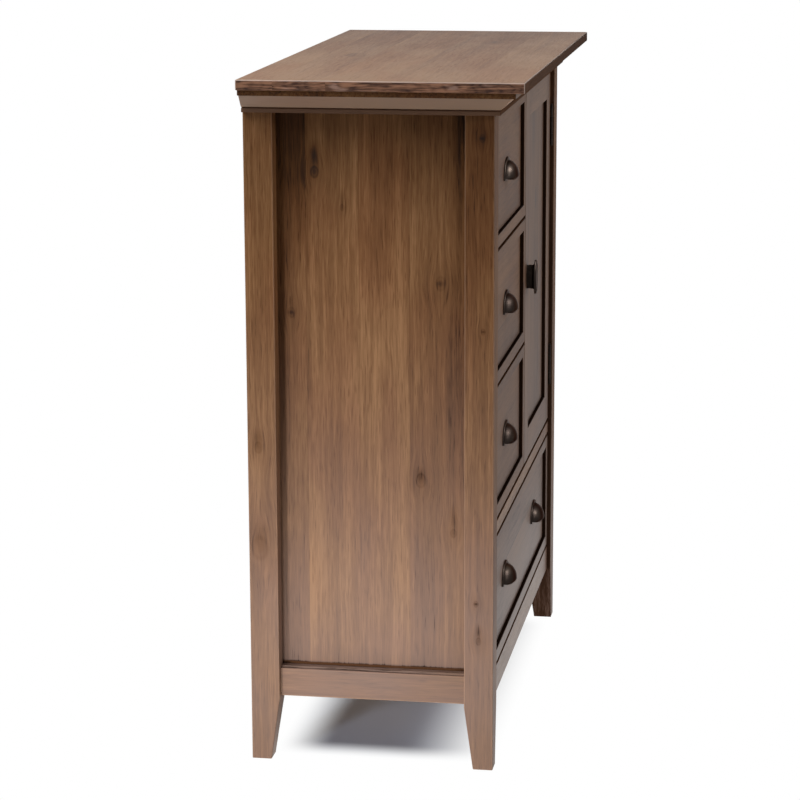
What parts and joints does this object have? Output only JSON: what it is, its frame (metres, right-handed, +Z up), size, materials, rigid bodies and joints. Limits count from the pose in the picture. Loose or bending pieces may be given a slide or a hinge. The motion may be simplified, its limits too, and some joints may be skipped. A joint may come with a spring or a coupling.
{
  "type": "storage cabinet",
  "caption": "Floor-standing wooden storage cabinet on tapered legs, with a column of drawers beside a hinged cupboard door, a wide drawer below and a moulded cornice under the top.",
  "frame": {"origin": "on the floor, under the middle of the top board", "axes": "+Z up, -Y towards the front where the drawers open, +X to the right seen from the front, on the side of the door"},
  "size_m": [0.94, 0.432, 1.07],
  "materials": {
    "cabinet_wood": "satin lacquer",
    "panel_wood": "satin lacquer",
    "inner_wood": "clear lacquer",
    "plywood": "clear lacquer",
    "dark_bronze": "satin",
    "zinc_steel": "zinc plated",
    "catch_plastic": "matt"
  },
  "bodies": {
    "cabinet": {"top_panel": "cabinet_wood", "sub_top": "cabinet_wood", "cornice_left": "cabinet_wood", "cornice_front": "cabinet_wood", "cornice_right": "cabinet_wood", "front_left_leg": "cabinet_wood", "front_right_leg": "cabinet_wood", "back_left_leg": "cabinet_wood", "back_right_leg": "cabinet_wood", "left_side_panel": "panel_wood", "right_side_panel": "panel_wood", "left_bottom_rail": "cabinet_wood", "right_bottom_rail": "cabinet_wood", "left_top_rail": "cabinet_wood", "right_top_rail": "cabinet_wood", "front_top_rail": "cabinet_wood", "front_middle_rail": "cabinet_wood", "front_bottom_rail": "cabinet_wood", "back_top_rail": "inner_wood", "back_bottom_rail": "inner_wood", "back_panel": "plywood", "partition": "inner_wood", "cupboard_floor": "inner_wood", "shelf": "inner_wood", "shelf_pins": "zinc_steel", "cabinet_runners": "zinc_steel", "frame_hinge_leaves": "dark_bronze", "hinge_pins": "dark_bronze", "door_catch": "catch_plastic"},
    "door": {"door_hinge_stile": "cabinet_wood", "door_knob_stile": "cabinet_wood", "door_rails": "cabinet_wood", "door_panel": "cabinet_wood", "door_knob": "dark_bronze", "door_hinge_leaves": "dark_bronze", "catch_plate": "zinc_steel"},
    "upper_drawer": {"upper_drawer_front": "cabinet_wood", "upper_drawer_frame": "cabinet_wood", "upper_drawer_box": "inner_wood", "upper_drawer_bottom": "plywood", "upper_drawer_pull": "dark_bronze", "upper_drawer_runners": "zinc_steel"},
    "middle_drawer": {"middle_drawer_front": "cabinet_wood", "middle_drawer_frame": "cabinet_wood", "middle_drawer_box": "inner_wood", "middle_drawer_bottom": "plywood", "middle_drawer_pull": "dark_bronze", "middle_drawer_runners": "zinc_steel"},
    "lower_drawer": {"lower_drawer_front": "cabinet_wood", "lower_drawer_frame": "cabinet_wood", "lower_drawer_box": "inner_wood", "lower_drawer_bottom": "plywood", "lower_drawer_pull": "dark_bronze", "lower_drawer_runners": "zinc_steel"},
    "wide_drawer": {"wide_drawer_front": "cabinet_wood", "wide_drawer_frame": "cabinet_wood", "wide_drawer_box": "inner_wood", "wide_drawer_bottom": "plywood", "wide_drawer_pull": "dark_bronze", "wide_drawer_runners": "zinc_steel"}
  },
  "joints": [
    {"name": "upper_drawer_slide", "type": "slide", "parent": "cabinet", "child": "upper_drawer", "axis": [0, -1, 0], "range_m": [0, 0.23]},
    {"name": "middle_drawer_slide", "type": "slide", "parent": "cabinet", "child": "middle_drawer", "axis": [0, -1, 0], "range_m": [0, 0.23]},
    {"name": "lower_drawer_slide", "type": "slide", "parent": "cabinet", "child": "lower_drawer", "axis": [0, -1, 0], "range_m": [0, 0.23]},
    {"name": "wide_drawer_slide", "type": "slide", "parent": "cabinet", "child": "wide_drawer", "axis": [0, -1, 0], "range_m": [0, 0.23]},
    {"name": "door_hinge", "type": "hinge", "parent": "cabinet", "child": "door", "pos_m": [0.3832, -0.1628, 0.69675], "axis": [0, 0, 1], "range_deg": [0, 110]}
  ]
}
